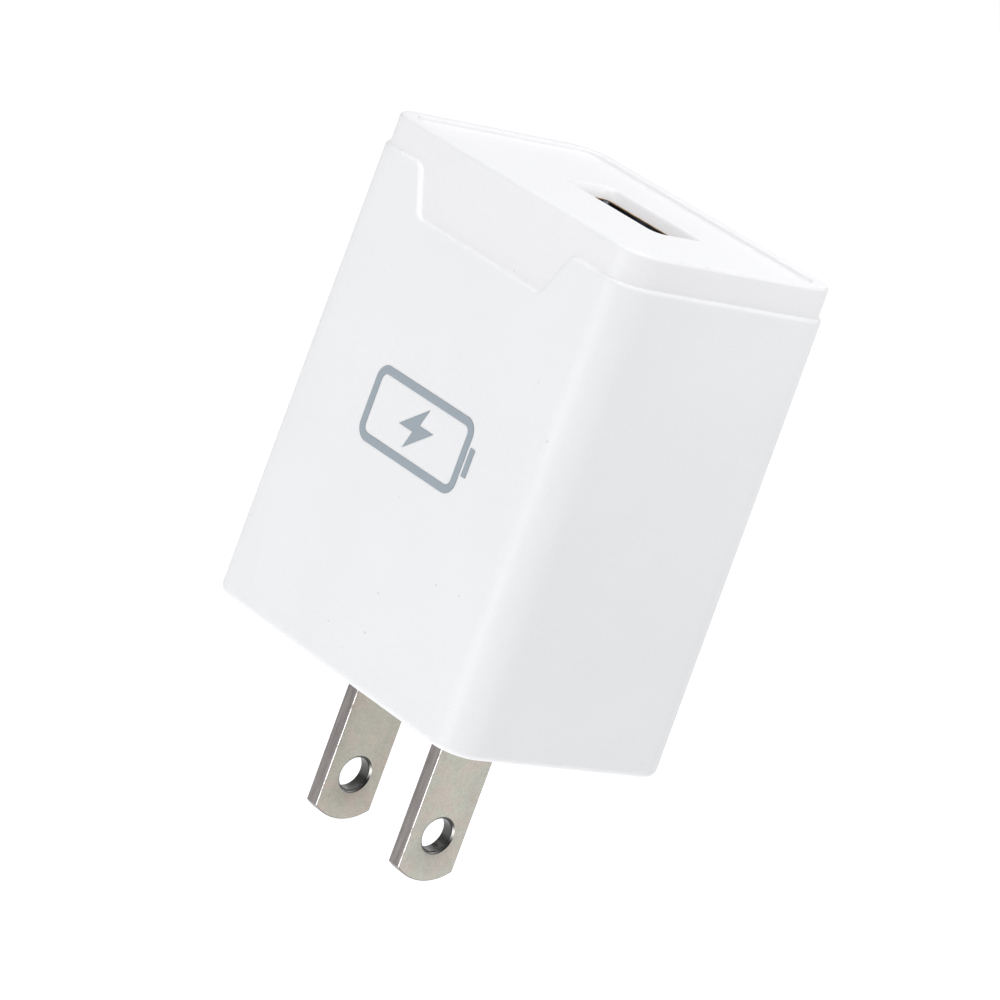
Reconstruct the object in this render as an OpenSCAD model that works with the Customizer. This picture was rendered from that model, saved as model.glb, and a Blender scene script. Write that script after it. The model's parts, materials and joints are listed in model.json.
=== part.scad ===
// USB wall charger: a small mains block with two fixed flat blades on one end
// and one USB-A socket on the other.
//
// Frame, in millimetres: the origin is the centre of the face that meets the
// wall outlet. +Z runs from that face to the socket end, so the blades point
// down. +X runs along the wide front face, which looks along -Y.

/* [Body] */
// Width of the block at the wall end
body_w = 37.4; // [36.6:0.2:40]
// Depth of the block at the wall end
body_d = 25.8; // [25.4:0.1:28]
// Height of the block from the wall face to the socket rim
body_h = 46.1; // [45.5:0.1:48]
// Radius of the four long corners
corner_r = 3.4; // [3:0.1:4]
// How much each wide end narrows in X from the wall end to the socket end
taper_x = 0.5; // [0:0.1:0.6]
// How much each wide face leans in over the same height
taper_y = 0.2; // [0:0.1:0.3]
// Rounding where the sides meet the wall face
foot_r = 0.75; // [0.4:0.05:1]
// Rounding of the housing's upper edge, beside the end cap
ledge_r = 0.3; // [0.1:0.05:0.3]
// Thickness of the wall face
base_t = 2.2; // [2:0.1:2.6]
// Least thickness of the side walls
wall_t = 1.8; // [1.6:0.1:2]

/* [End cap] */
// Height of the band of the end cap that shows above the housing
cap_band_h = 2.85; // [2.6:0.05:3.2]
// How far the end cap's surface lies inside the housing's surface
cap_inset = 0.33; // [0.2:0.01:0.4]
// Width of the raised rim round the socket end
rim_w = 1.5; // [1.2:0.1:1.8]
// Depth of the panel below the rim
panel_drop = 0.5; // [0.3:0.1:0.7]
// Rounding of the rim's outer edge
rim_r = 0.4; // [0.2:0.05:0.6]
// Thickness of the panel that holds the socket's mouth
panel_t = 1.7; // [1.5:0.1:1.8]
// Depth of the skirt that slides into the housing
skirt_h = 3.6; // [3.2:0.1:4]
// Thickness of the skirt
skirt_t = 1.2; // [1:0.1:1.3]
// How far the front tab reaches down from the housing's upper edge
tab_h = 4.25; // [3.8:0.05:4.6]
// Half width of the front tab at its lower edge
tab_low_half = 9; // [8:0.1:10]
// Half width of the front tab at the housing's upper edge
tab_high_half = 10.9; // [10.2:0.1:12]
// Rounding of the tab's two lower corners
tab_r = 1; // [0.5:0.1:1.4]

/* [USB socket] */
// Offset of the socket's centre from the middle of the wide face
port_x = 0.8; // [0:0.1:1.2]
// Offset of the socket's centre towards the back face
port_y = 1.9; // [1.6:0.1:2.2]
// Length of the opening in the panel
port_w = 13.2; // [12.9:0.1:13.6]
// Height of the opening in the panel
port_d = 5.5; // [5.3:0.1:5.8]
// Corner radius of the opening in the panel
port_r = 1; // [0.6:0.1:1.4]
// Depth of the plastic wall of the opening, down to the metal shield
port_land = 1.05; // [0.9:0.05:1.2]
// Inside length of the metal shield
shield_in_w = 12.5; // [12.4:0.05:12.6]
// Inside height of the metal shield
shield_in_d = 5.12; // [5.05:0.01:5.2]
// Thickness of the shield's sheet
shield_t = 0.3; // [0.25:0.05:0.35]
// Length of the metal shield
shield_l = 13.6; // [13:0.1:14.2]
// Thickness of the plastic tongue
tongue_t = 1.84; // [1.8:0.01:1.9]
// Width of the plastic tongue
tongue_w = 11.1; // [10.9:0.1:11.2]
// Distance of the tongue's tip from the shield's mouth
tongue_drop = 3; // [2.9:0.1:3.4]

/* [Mains blades] */
// Distance between the middles of the two blades
blade_spacing = 12.7; // [12.6:0.05:12.8]
// Width of a blade
blade_w = 6.35; // [6.2:0.05:6.5]
// Thickness of a blade
blade_t = 1.5; // [1.4:0.05:1.6]
// Length of a blade below the wall face
blade_l = 16.1; // [15.5:0.1:17.5]
// Length of the curved tip of a blade
blade_tip = 1.1; // [0.8:0.1:1.3]
// Width of the chamfer along a blade's edges
blade_chamfer = 0.18; // [0.1:0.02:0.25]
// Distance of a blade's hole from the wall face
blade_hole_z = 11.68; // [11.5:0.02:11.9]
// Radius of a blade's hole
blade_hole_r = 1.6; // [1.5:0.05:1.8]
// Width of the countersink round a blade's hole
blade_sink = 0.25; // [0.1:0.05:0.3]

/* [Circuit board] */
// Thickness of the circuit board
board_t = 1.6; // [1.5:0.1:1.6]
// Half width of the circuit board inside its two guide slots
board_half = 15.6; // [15.4:0.1:15.6]
// Height of the board's lower edge above the wall face
board_z = 7; // [6.8:0.1:7.2]

/* [Transformer] */
// Width of the ferrite core
core_w = 16; // [15.6:0.1:16]
// Length of the two core halves together
core_l = 14.4; // [14:0.1:14.4]
// Thickness of the ferrite core
core_t = 4.8; // [4.6:0.1:5]
// Width of the core's middle leg
core_leg = 4; // [3.8:0.1:4.2]

/* [Printed icon] */
// Width of the printed battery outline
icon_w = 15; // [12:0.5:16]
// Height of the printed battery outline
icon_h = 7; // [6:0.2:7.6]
// Height of the icon's middle above the wall face
icon_z = 22.9; // [20:0.1:26]

/* [Hidden] */

$fn = 48;
hull_fn = 32;
edge_fn = 20;
overcut = 1;

// Colours
white_plastic = [0.95, 0.955, 0.965];
nickel = [0.72, 0.70, 0.66];
steel = [0.75, 0.75, 0.76];
tin = [0.80, 0.80, 0.82];
brass = [0.78, 0.62, 0.30];
gold = [0.86, 0.68, 0.30];
board_green = [0.10, 0.38, 0.22];
black_resin = [0.07, 0.07, 0.08];
ferrite = [0.20, 0.20, 0.21];
tape_yellow = [0.92, 0.78, 0.20];
copper = [0.72, 0.40, 0.20];
sleeve_dark = [0.12, 0.14, 0.22];
resistor_green = [0.32, 0.50, 0.42];
disc_blue = [0.12, 0.30, 0.62];
film_amber = [0.86, 0.80, 0.62];
chip_tan = [0.68, 0.58, 0.44];
ink_grey = [0.58, 0.63, 0.67];

// Housing and end cap
slip = 0.05;
ledge_z = body_h - cap_band_h;
panel_z = body_h - panel_drop;
panel_under_z = panel_z - panel_t;
mouth_z = panel_z - port_land - slip;
shrink_x = taper_x / body_h;
shrink_y = taper_y / body_h;
lean = atan(shrink_y);
cavity_half_x = body_w / 2 - taper_x - wall_t;
cavity_half_y = body_d / 2 - taper_y - wall_t;
cavity_r = 2;
skirt_half_x = cavity_half_x - slip;
skirt_half_y = cavity_half_y - slip;
skirt_z = ledge_z - skirt_h;
tab_z = ledge_z - tab_h;

// Snap hooks of the end cap, two on each wide side of the skirt
hook_x = 12.6;
hook_w = 3;
hook_h = 1;
hook_out = 0.45;
hook_lift = 0.6;
hook_z = skirt_z + hook_lift;
pocket_play = 0.2;
pocket_play_z = 0.15;
pocket_reach = 0.7;

// The socket's opening: it narrows below its lip, and widens again for the shield
lip_deep = 0.35;
throat_w = port_w - 2 * lip_deep;
throat_d = port_d - 0.25;
throat_r = port_r - 0.2;
shield_play = 0.2;

// Shield and tongue
shield_w = shield_in_w + 2 * shield_t;
shield_d = shield_in_d + 2 * shield_t;
shield_r = 0.7;
shield_end_z = mouth_z - shield_l;
shield_wall_y = port_y - shield_in_d / 2;
tongue_gap = 0.66;
leg_z = mouth_z - 8;
leg_h = 2.2;

// Windows in the shield's wide sides, with one latching leaf in each
window_w = 2.5;
window_h = 4.4;
window_z = mouth_z - 7.5;
leaf_x = 3.4;
leaf_w = 1.9;
leaf_l = 4.2;
leaf_bow = 0.35;
leaf_root = 0.1;

// Tongue and the block that holds the contacts
tongue_y = shield_wall_y + tongue_gap;
tongue_tip_z = mouth_z - tongue_drop;
block_z = shield_end_z + 0.3;
block_h = 2.8;
block_top_z = block_z + block_h;

// Spring contacts in the tongue: offset of each along the socket
contact_x = [3.5, 1, -1, -3.5];
contact_w = 1;
contact_t = 0.25;
contact_root_r = 0.2;
contact_y = tongue_y + 1.42;
contact_z = block_top_z + 0.3;
contact_tip_z = tongue_tip_z - 0.5;
bump_low_z = contact_tip_z - 2.6;
bump_mid_z = contact_tip_z - 1.5;
bump_rise = 0.75;
groove_w = 1.4;
groove_floor = 0.6;
tail_z = block_z - 0.9;
tail_w = 0.6;

// Board, its rails and what stands on it
board_y = port_y + shield_d / 2 + 0.2;
board_back = board_y + board_t;
board_top_z = panel_under_z - 0.3;
board_neck_half = cavity_half_x - slip - skirt_t - 0.6;
board_neck_z = skirt_z - 0.6;
rail_t = 1.1;
rail_reach = 1.6;
rail_root = 0.3;
rail_top_z = 36;
lead_r = 0.3;
lead_hole_r = 0.4;
lead_end_y = board_back + 1.2;
stand_off = 0.15;

// Printed icon
icon_nub = 0.9;

// Blades inside the housing
shank_w = 4;
shank_top_z = 9.6;
flange_w = 8.6;
flange_h = 1.2;
retainer_w = 21;
retainer_d = 12.4;
retainer_t = 3;
post_x = 0;
post_y = 4.4;
post_r = 1.1;
post_head_r = 1.7;
post_head_h = 0.7;
clip_t = 0.4;
clip_z = board_z + 0.3;
clip_h = 2.2;
clip_tail_h = 1.4;
clip_web_y = shank_w / 2 + 0.4;

// Transformer
core_x = 1.7;
core_z = 21.6;
winding_deep = 10.6;
winding_wide = 10.8;
core_y = board_y - 1 - winding_deep / 2;
core_back = 2;
core_side = 1.95;
bobbin_wall = 0.7;
bobbin_slip = 0.1;
bobbin_half_l = core_l / 2 - core_back - 0.1;
flange_t = 0.8;
flange_wide = core_w - 2 * core_side - 0.4;
flange_deep = 11.4;
tape_t = 0.2;
winding_r = 1.6;
pin_x = [-4.5, -1.5, 1.5, 4.5];
pin_rail_in = 0.7;
pin_rail_out = core_l / 2 + 1.2;
pin_z = pin_rail_out - 1.1;
pin_root = 1.4;
pin_rail_y = core_y + core_t / 2 + 0.2 + tape_t;
pin_rail_h = board_y - stand_off - pin_rail_y;

// Leaded parts: place on the board in X and Z. Three capacitors share one can size
can_r = 4;
can_h = 12;
input_low = [-10.7, 14.6];
input_high = [-10.7, 23.2];
output_left = [-10.7, 33.4];
output_right_r = 3.15;
output_right_h = 11;
output_right = [11.3, 36];
capacitor_pitch = 3.5;
output_right_pitch = 2.5;
choke_at = [0, 10];
choke_r = 2.8;
choke_h = 6.5;
choke_flange = 1;
choke_pitch = 3;
resistor_at = [11.8, 10];
resistor_r = 1.7;
resistor_h = 9;
resistor_pitch = 3.6;
resistor_lift = 0.6;
disc_at = [12.3, 26.6];
disc_r = 3.6;
disc_t = 2.6;
disc_pitch = 5;
disc_lift = 1.4;

// Parts soldered flat on the board's back: place in X and Z
bridge_at = [9, 14.5];
bridge_size = [4.7, 2.3, 3.9];
control_at = [-9.5, 20];
control_size = [4.9, 1.5, 3.9];
diode_at = [4, 34.2];
diode_size = [4.5, 2.2, 3.7];
port_chip_at = [-9, 38.8];
port_chip_size = [2.9, 1.1, 1.6];
bridge_legs = [-1.3, 1.3];
control_legs = [-1.905, -0.635, 0.635, 1.905];
diode_legs = [0];
port_chip_legs = [-0.95, 0, 0.95];
leg_t = 0.2;
leg_w = 0.42;
leg_foot = 0.7;
leg_rise = 0.8;
chip_lift = 0.1;
resistor_chip = [1.2, 0.5, 2];
capacitor_chip = [1.25, 0.85, 2];
terminal_l = 0.35;
chip_resistor_at = [
    [-13, 12], [-10.8, 12], [-8.6, 12], [2.6, 12], [4.8, 12],
    [-13, 27], [-10.8, 27], [2.4, 39.4], [4.6, 39.4], [-2.2, 39.4]
];
chip_capacitor_at = [[-8.6, 27], [-3, 18], [9.8, 39], [-12.6, 38.8], [10, 33]];

function half_x(z, inset) = body_w / 2 - shrink_x * z - inset;
function half_y(z, inset) = body_d / 2 - shrink_y * z - inset;
function front_y(z) = -half_y(z, 0);

// ---- Shared shapes ----

module rounded_rect(w, d, r) {
    square([w - 2 * r, d], center = true);
    square([w, d - 2 * r], center = true);
    for (sx = [-1, 1], sy = [-1, 1])
        translate([sx * (w / 2 - r), sy * (d / 2 - r)])
            circle(r);
}

module rounded_slab(w, d, h, r) {
    linear_extrude(h)
        rounded_rect(w, d, r);
}

// A copy of the child at each long corner of the drafted block, at height z
module at_corners(z, inset) {
    reach = corner_r - inset;
    for (sx = [-1, 1], sy = [-1, 1])
        translate([sx * (half_x(z, inset) - reach), sy * (half_y(z, inset) - reach), z])
            children();
}

module corner_ring(outer, edge) {
    rotate_extrude($fn = hull_fn)
        translate([outer - edge, 0])
            circle(edge, $fn = edge_fn);
}

// Stands its child on the board, at [x, z], growing towards the front face
module on_board(at) {
    translate([at[0], board_y, at[1]])
        rotate([90, 0, 0])
            children();
}

// Lays its child on the board's back, at [x, z], with the child's +Y outwards
module on_back(at) {
    translate([at[0], board_back, at[1]])
        children();
}

// Two straight leads that go through the board, a pitch apart along X
module lead_pair(pitch, start, r) {
    for (s = [-1, 1])
        translate([s * pitch / 2, 0, board_y - lead_end_y])
            cylinder(h = lead_end_y - board_y + start, r = r);
}

module block(size) {
    translate([-size[0] / 2, 0, -size[2] / 2])
        cube(size);
}

// ---- Housing and end cap ----

module housing_skin() {
    hull() {
        at_corners(foot_r, 0) corner_ring(corner_r, foot_r);
        at_corners(ledge_z - ledge_r, 0) corner_ring(corner_r, ledge_r);
    }
}

// Front view of the tab and of the band above it. Growing by the tab's radius and
// then shrinking by it rounds the corners where the tab's sides meet the band
module tab_outline(grow) {
    offset(r = -tab_r)
        offset(r = tab_r + grow) {
            hull() {
                for (s = [-1, 1])
                    translate([s * (tab_low_half - tab_r * 0.8), tab_z + tab_r])
                        circle(tab_r, $fn = hull_fn);
                translate([-tab_high_half, ledge_z])
                    square([2 * tab_high_half, tab_r]);
            }
            translate([-body_w / 2, ledge_z + 2 * grow])
                square([body_w, 3 * tab_r]);
        }
}

// The tab's outline as a solid through the front wall
module tab_prism(grow, depth) {
    translate([0, depth - body_d / 2, 0])
        rotate([90, 0, 0])
            linear_extrude(depth + overcut)
                tab_outline(grow);
}

module hook_pockets() {
    for (sx = [-1, 1], sy = [-1, 1])
        translate([sx * hook_x, sy * (cavity_half_y + pocket_reach / 2 - slip), hook_z + hook_h / 2])
            cube([hook_w + 2 * pocket_play, pocket_reach + 2 * slip, hook_h + 2 * pocket_play_z],
                 center = true);
}

module blade_slots() {
    for (s = [-1, 1])
        translate([s * blade_spacing / 2, 0, base_t / 2])
            cube([blade_t + 2 * slip, blade_w + 2 * slip, base_t + 2 * overcut], center = true);
}

module board_rails() {
    for (sx = [-1, 1], y = [board_y - rail_t - slip, board_back + slip])
        translate([sx * (cavity_half_x + rail_root - rail_reach / 2) - rail_reach / 2, y, base_t - slip])
            cube([rail_reach, rail_t, rail_top_z - base_t]);
}

// Posts that rise through the retainer and are formed over it with heat
module retainer_posts() {
    for (s = [-1, 1])
        translate([post_x, s * post_y, base_t - slip]) {
            cylinder(h = retainer_t + 2 * slip, r = post_r);
            translate([0, 0, retainer_t + 2 * slip])
                cylinder(h = post_head_h, r1 = post_head_r, r2 = post_r);
        }
}

module main_housing() {
    color(white_plastic) {
        difference() {
            housing_skin();
            translate([0, 0, base_t])
                rounded_slab(2 * cavity_half_x, 2 * cavity_half_y, body_h, cavity_r);
            blade_slots();
            tab_prism(slip, skirt_t + wall_t + overcut);
            hook_pockets();
        }
        board_rails();
        retainer_posts();
    }
}

module cap_skin() {
    hull() {
        at_corners(tab_z - overcut, cap_inset)
            cylinder(h = overcut, r = corner_r - cap_inset, $fn = hull_fn);
        at_corners(body_h - rim_r, cap_inset) corner_ring(corner_r - cap_inset, rim_r);
    }
}

module cap_hooks() {
    for (sx = [-1, 1], sy = [-1, 1])
        translate([sx * hook_x, sy * (skirt_half_y - slip), hook_z])
            rotate([0, 90, 0])
                rotate([0, 0, sy < 0 ? 180 : 0])
                    linear_extrude(hook_w, center = true)
                        polygon(sy < 0
                            ? [[0, 0], [hook_h, 0], [hook_h, hook_out]]
                            : [[0, 0], [-hook_h, 0], [-hook_h, hook_out]]);
}

module port_opening() {
    translate([port_x, port_y, 0]) {
        translate([0, 0, panel_z - port_land - overcut])
            rounded_slab(throat_w, throat_d, body_h, throat_r);
        translate([0, 0, panel_z - lip_deep])
            rounded_slab(port_w, port_d, body_h, port_r);
        translate([0, 0, panel_under_z - overcut])
            rounded_slab(shield_w + 2 * shield_play, shield_d + 2 * shield_play,
                         panel_t - port_land + overcut, shield_r + shield_play);
    }
}

module usb_end_cap() {
    color(white_plastic)
        difference() {
            union() {
                intersection() {
                    cap_skin();
                    union() {
                        translate([-body_w, -body_d, ledge_z])
                            cube([2 * body_w, 2 * body_d, body_h]);
                        tab_prism(0, skirt_t + wall_t);
                    }
                }
                translate([0, 0, skirt_z])
                    rounded_slab(2 * skirt_half_x, 2 * skirt_half_y,
                                 ledge_z - skirt_z + slip, cavity_r - slip);
                cap_hooks();
            }
            translate([0, 0, skirt_z - overcut])
                rounded_slab(2 * (skirt_half_x - skirt_t), 2 * (skirt_half_y - skirt_t),
                             panel_under_z - skirt_z + overcut, cavity_r - slip - skirt_t / 2);
            translate([0, 0, panel_z])
                rounded_slab(2 * (half_x(body_h, cap_inset) - rim_w),
                             2 * (half_y(body_h, cap_inset) - rim_w),
                             body_h, corner_r - cap_inset - rim_w);
            port_opening();
        }
}

// ---- Printed icon: a battery outline with a charging bolt ----

module icon_outline() {
    line = 0.75;
    nub_h = 2.6;
    nub_gap = 0.25;
    case_r = 1.4;
    case_w = icon_w - icon_nub;
    translate([-icon_nub / 2, 0])
        difference() {
            rounded_rect(case_w, icon_h, case_r);
            rounded_rect(case_w - 2 * line, icon_h - 2 * line, case_r - line);
        }
    translate([icon_w / 2 - icon_nub + nub_gap, -nub_h / 2])
        square([icon_nub - nub_gap, nub_h]);
}

module icon_bolt() {
    s = icon_h / 7;
    translate([-icon_nub / 2, 0])
        polygon([
            [0.9 * s, 2.1 * s], [-2.3 * s, -0.4 * s], [-0.3 * s, -0.4 * s],
            [-0.9 * s, -2.1 * s], [2.3 * s, 0.4 * s], [0.3 * s, 0.4 * s]
        ]);
}

module printed_icon() {
    ink_t = 0.05;
    color(ink_grey)
        translate([port_x, front_y(icon_z), icon_z])
            rotate([90 - lean, 0, 0])
                linear_extrude(ink_t) {
                    icon_outline();
                    icon_bolt();
                }
}

// ---- Mains blades ----

// Seen from the side: Y across the blade, Z along it, down to the curved tip
module blade_profile() {
    tip_r = (pow(blade_w / 2, 2) + pow(blade_tip, 2)) / (2 * blade_tip);
    straight = blade_l - blade_tip;
    translate([-blade_w / 2, -straight])
        square([blade_w, straight + base_t]);
    intersection() {
        translate([0, tip_r - blade_l])
            circle(tip_r);
        translate([-blade_w / 2, -blade_l])
            square([blade_w, blade_tip + overcut]);
    }
}

module blade_section() {
    c = blade_chamfer;
    x = blade_t / 2;
    y = blade_w / 2;
    polygon([
        [x, y - c], [x - c, y], [c - x, y], [-x, y - c],
        [-x, c - y], [c - x, -y], [x - c, -y], [x, c - y]
    ]);
}

module blade_hole() {
    depth = 0.25;
    rotate([0, 90, 0]) {
        cylinder(h = blade_t + 2 * overcut, r = blade_hole_r, center = true);
        for (s = [0, 180])
            rotate([s, 0, 0])
                translate([0, 0, blade_t / 2 - depth])
                    cylinder(h = 2 * depth, r1 = blade_hole_r, r2 = blade_hole_r + 2 * blade_sink);
    }
}

module blade(side) {
    color(nickel)
        translate([side * blade_spacing / 2, 0, 0])
            difference() {
                union() {
                    intersection() {
                        translate([0, 0, -blade_l])
                            linear_extrude(blade_l + base_t)
                                blade_section();
                        rotate([90, 0, 90])
                            linear_extrude(blade_t + overcut, center = true)
                                blade_profile();
                    }
                    translate([-blade_t / 2, -flange_w / 2, base_t])
                        cube([blade_t, flange_w, flange_h]);
                    translate([-blade_t / 2, -shank_w / 2, base_t])
                        cube([blade_t, shank_w, shank_top_z - base_t]);
                }
                translate([0, 0, -blade_hole_z])
                    blade_hole();
            }
}

module blade_left() {
    blade(-1);
}

module blade_right() {
    blade(1);
}

// Plate staked over the blades' shoulders, so that they can't be pulled out
module blade_retainer() {
    retainer_r = 1.5;
    color(black_resin)
        translate([0, 0, base_t])
            difference() {
                rounded_slab(retainer_w, retainer_d, retainer_t, retainer_r);
                for (s = [-1, 1])
                    translate([s * blade_spacing / 2, 0, 0]) {
                        cube([blade_t + 2 * slip, flange_w + 2 * slip, 2 * (flange_h + slip)],
                            center = true);
                        cube([blade_t + 2 * slip, shank_w + 2 * slip, 3 * retainer_t], center = true);
                    }
                for (s = [-1, 1])
                    translate([post_x, s * post_y, -overcut])
                        cylinder(h = retainer_t + 2 * overcut, r = post_r + slip);
            }
}

// One leaf of a blade clip, seen along Z, with its flared end
module clip_leaf(side) {
    inner = blade_t / 2;
    short = 0.4;
    end_y = short - shank_w / 2;
    flare_x = 0.5;
    flare_y = 1;
    polygon([
        [side * inner, clip_web_y + clip_t], [side * (inner + clip_t), clip_web_y + clip_t],
        [side * (inner + clip_t), end_y], [side * (inner + clip_t + flare_x), end_y - flare_y],
        [side * (inner + flare_x), end_y - flare_y], [side * inner, end_y]
    ]);
}

// Fork that grips one blade's shank and is soldered into the board
module blade_clip(side) {
    color(brass)
        translate([side * blade_spacing / 2, 0, clip_z]) {
            linear_extrude(clip_h) {
                clip_leaf(-1);
                clip_leaf(1);
                translate([-blade_t / 2 - clip_t, clip_web_y])
                    square([blade_t + 2 * clip_t, clip_t]);
            }
            translate([-clip_t / 2, clip_web_y + clip_t / 2, clip_h / 2 - clip_tail_h / 2])
                cube([clip_t, lead_end_y - clip_web_y - clip_t / 2, clip_tail_h]);
        }
}

module blade_clip_left() {
    blade_clip(-1);
}

module blade_clip_right() {
    blade_clip(1);
}

// ---- Circuit board ----

module board_outline() {
    polygon([
        [-board_half, board_z], [board_half, board_z],
        [board_half, board_neck_z], [board_neck_half, board_neck_z],
        [board_neck_half, board_top_z], [-board_neck_half, board_top_z],
        [-board_neck_half, board_neck_z], [-board_half, board_neck_z]
    ]);
}

module through_board(at, pitch) {
    on_board(at)
        translate([0, 0, -board_t - overcut])
            for (s = [-1, 1])
                translate([s * pitch / 2, 0, 0])
                    cylinder(h = board_t + 2 * overcut, r = lead_hole_r);
}

module through_board_upright(at, pitch) {
    for (s = [-1, 1])
        through_board([at[0], at[1] + s * pitch / 2], 0);
}

// Slot through the board for a flat tail w wide and h high
module board_slot(x, z, w, h) {
    translate([x, board_y + board_t / 2, z])
        cube([w + 4 * slip, board_t + 2 * overcut, h + 4 * slip], center = true);
}

module main_board() {
    color(board_green)
        difference() {
            translate([0, board_back, 0])
                rotate([90, 0, 0])
                    linear_extrude(board_t)
                        board_outline();
            for (at = [input_low, input_high, output_left])
                through_board(at, capacitor_pitch);
            through_board(output_right, output_right_pitch);
            through_board(choke_at, choke_pitch);
            through_board_upright(resistor_at, resistor_pitch);
            through_board_upright(disc_at, disc_pitch);
            for (x = pin_x, s = [-1, 1])
                through_board([core_x + x, core_z + s * pin_z], 0);
            for (x = contact_x)
                through_board([port_x + x, tail_z + contact_t / 2], 0);
            for (s = [-1, 1]) {
                board_slot(s * blade_spacing / 2, clip_z + clip_h / 2, clip_t, clip_tail_h);
                board_slot(port_x + s * (shield_w - shield_t) / 2, leg_z, shield_t, leg_h);
            }
        }
}

// Sheet between the board's back and the housing
module board_insulator() {
    sheet_t = 0.25;
    sheet_r = 1.5;
    color(film_amber)
        translate([0, cavity_half_y - 2 * slip, (board_z + board_neck_z) / 2])
            rotate([90, 0, 0])
                rounded_slab(2 * board_neck_half, board_neck_z - board_z, sheet_t, sheet_r);
}

// ---- USB socket ----

// A latching leaf, joined to the shield at its lower end and bowed inwards
module shield_leaf(side) {
    translate([0, port_y + side * (shield_d / 2 - shield_t / 2), window_z - leaf_root])
        rotate([side * atan(leaf_bow / leaf_l), 0, 0])
            translate([-leaf_w / 2, -shield_t / 2, 0])
                cube([leaf_w, shield_t, leaf_l]);
}

module usb_shield() {
    color(steel)
        translate([port_x, 0, 0]) {
            difference() {
                translate([0, port_y, shield_end_z])
                    rounded_slab(shield_w, shield_d, shield_l, shield_r);
                translate([0, port_y, shield_end_z - overcut])
                    rounded_slab(shield_in_w, shield_in_d, shield_l + 2 * overcut, shield_r - shield_t);
                for (s = [-1, 1])
                    translate([s * leaf_x - window_w / 2, port_y - shield_d, window_z])
                        cube([window_w, 2 * shield_d, window_h]);
            }
            for (sx = [-1, 1], sy = [-1, 1])
                translate([sx * leaf_x, 0, 0])
                    shield_leaf(sy);
            for (s = [-1, 1])
                translate([s * (shield_w - shield_t) / 2 - shield_t / 2, port_y, leg_z - leg_h / 2])
                    cube([shield_t, lead_end_y - port_y, leg_h]);
        }
}

module usb_tongue() {
    corner_cut = 0.7;
    groove_end = 0.25;
    color(black_resin)
        translate([port_x, 0, 0])
            difference() {
                union() {
                    translate([-shield_in_w / 2 + slip, shield_wall_y + slip, block_z])
                        cube([shield_in_w - 2 * slip, shield_in_d - 2 * slip, block_h]);
                    translate([-tongue_w / 2, tongue_y, block_z])
                        cube([tongue_w, tongue_t, tongue_tip_z - block_z]);
                }
                for (sx = [-1, 1], sy = [-1, 1])
                    translate([sx * shield_in_w / 2, port_y + sy * shield_in_d / 2, block_z - overcut])
                        rotate([0, 0, 45])
                            cube([corner_cut, corner_cut, 2 * (block_h + overcut)], center = true);
                for (x = contact_x) {
                    translate([x - groove_w / 2, tongue_y + groove_floor, block_top_z])
                        cube([groove_w, tongue_t, contact_tip_z + groove_end - block_top_z]);
                    translate([x - contact_w / 2 - slip, contact_y - contact_t / 2 - slip,
                        block_z - overcut])
                        cube([contact_w + 2 * slip, contact_t + 2 * slip, block_h + 2 * overcut]);
                }
            }
}

// Fixed ends of the contacts: through the block, then down into the board
module usb_contact_tails() {
    color(gold)
        for (x = contact_x)
            translate([port_x + x, 0, 0]) {
                translate([-contact_w / 2, contact_y - contact_t / 2, tail_z])
                    cube([contact_w, contact_t, block_top_z - tail_z]);
                translate([-contact_w / 2, contact_y - contact_t / 2, tail_z])
                    cube([contact_w, board_y - stand_off - contact_y, contact_t]);
                translate([-tail_w / 2, board_y - stand_off - contact_t, tail_z])
                    cube([tail_w, lead_end_y - board_y + stand_off + contact_t, contact_t]);
            }
}

// One sprung contact: it bends at its root when a plug presses the bump
module contact(index) {
    low = contact_y - contact_t / 2;
    color(gold)
        translate([port_x + contact_x[index] - contact_w / 2, 0, 0]) {
            translate([0, contact_y, contact_z])
                rotate([0, 90, 0])
                    cylinder(h = contact_w, r = contact_root_r);
            rotate([90, 0, 90])
                linear_extrude(contact_w)
                    polygon([
                        [low, contact_z], [low, bump_low_z], [low + bump_rise, bump_mid_z],
                        [low, contact_tip_z], [low + contact_t, contact_tip_z],
                        [low + bump_rise + contact_t, bump_mid_z],
                        [low + contact_t, bump_low_z], [low + contact_t, contact_z]
                    ]);
        }
}

module contact_power() {
    contact(0);
}

module contact_data_minus() {
    contact(1);
}

module contact_data_plus() {
    contact(2);
}

module contact_ground() {
    contact(3);
}

// ---- Transformer ----

module at_core() {
    translate([core_x, core_y, core_z])
        children();
}

module core_half() {
    half = core_l / 2;
    color(ferrite)
        translate([0, core_t / 2, 0])
            rotate([90, 0, 0])
                linear_extrude(core_t)
                    difference() {
                        translate([-core_w / 2, 0])
                            square([core_w, half]);
                        for (s = [-1, 1])
                            translate([s * (core_w / 2 - core_side + core_leg / 2) / 2
                                       - (core_w / 2 - core_side - core_leg / 2) / 2, -overcut])
                                square([core_w / 2 - core_side - core_leg / 2,
                                    half - core_back + overcut]);
                    }
}

module core_half_upper() {
    at_core()
        core_half();
}

module core_half_lower() {
    at_core()
        mirror([0, 0, 1])
            core_half();
}

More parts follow.
